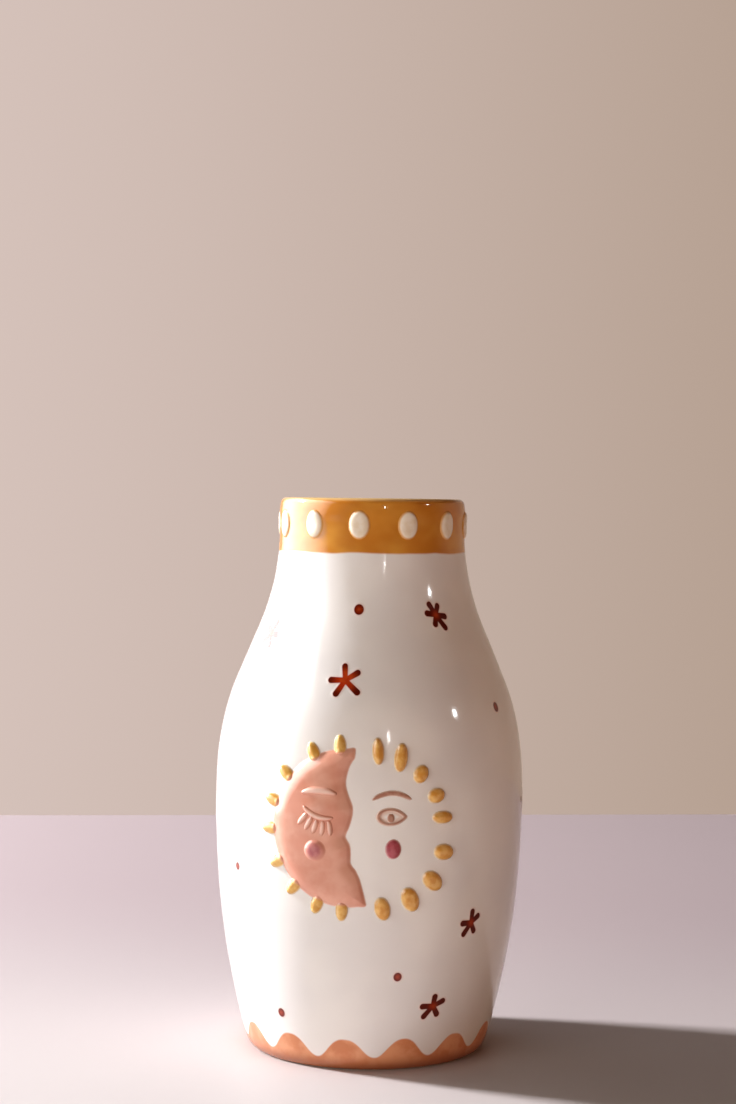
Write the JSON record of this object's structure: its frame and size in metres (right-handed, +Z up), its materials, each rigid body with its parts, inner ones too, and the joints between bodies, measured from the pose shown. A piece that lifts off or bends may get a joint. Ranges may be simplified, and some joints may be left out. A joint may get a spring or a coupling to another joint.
{
  "type": "pottery vase",
  "caption": "Small white-glazed bottle-shouldered vase with an ochre collar, a sun-and-moon face in low relief, scattered red stars and a scalloped foot band.",
  "frame": {"origin": "middle of the foot, on the surface the vase stands on", "axes": "+Z up the vase's axis to the rim; the sun-and-moon face looks along -Y; +X is to the right of someone facing it"},
  "size_m": [0.09, 0.0919, 0.16],
  "materials": {
    "white_glaze": "gloss",
    "ochre_glaze": "gloss",
    "pink_glaze": "gloss",
    "magenta_glaze": "gloss",
    "line_glaze": "gloss",
    "iron_red_paint": "gloss"
  },
  "bodies": {
    "root": {"moon_brow": "pink_glaze", "moon_cheek": "magenta_glaze", "moon_crescent": "pink_glaze", "moon_eyelid": "pink_glaze", "moon_lash_1": "pink_glaze", "moon_lash_2": "pink_glaze", "moon_lash_3": "pink_glaze", "moon_lash_4": "pink_glaze", "moon_lash_5": "pink_glaze", "moon_ray_1": "ochre_glaze", "moon_ray_2": "ochre_glaze", "moon_ray_3": "ochre_glaze", "moon_ray_4": "ochre_glaze", "moon_ray_5": "ochre_glaze", "moon_ray_6": "ochre_glaze", "moon_ray_7": "ochre_glaze", "moon_ray_8": "ochre_glaze", "moon_ray_9": "ochre_glaze", "rim_oval_01": "white_glaze", "rim_oval_02": "white_glaze", "rim_oval_03": "white_glaze", "rim_oval_04": "white_glaze", "rim_oval_05": "white_glaze", "rim_oval_06": "white_glaze", "rim_oval_07": "white_glaze", "rim_oval_08": "white_glaze", "rim_oval_09": "white_glaze", "rim_oval_10": "white_glaze", "rim_oval_11": "white_glaze", "rim_oval_12": "white_glaze", "sun_brow": "line_glaze", "sun_cheek": "magenta_glaze", "sun_eye": "line_glaze", "sun_pupil": "line_glaze", "sun_ray_1": "ochre_glaze", "sun_ray_2": "ochre_glaze", "sun_ray_3": "ochre_glaze", "sun_ray_4": "ochre_glaze", "sun_ray_5": "ochre_glaze", "sun_ray_6": "ochre_glaze", "sun_ray_7": "ochre_glaze", "sun_ray_8": "ochre_glaze", "sun_ray_9": "ochre_glaze", "vase_body": "white_glaze"}
  },
  "joints": []
}
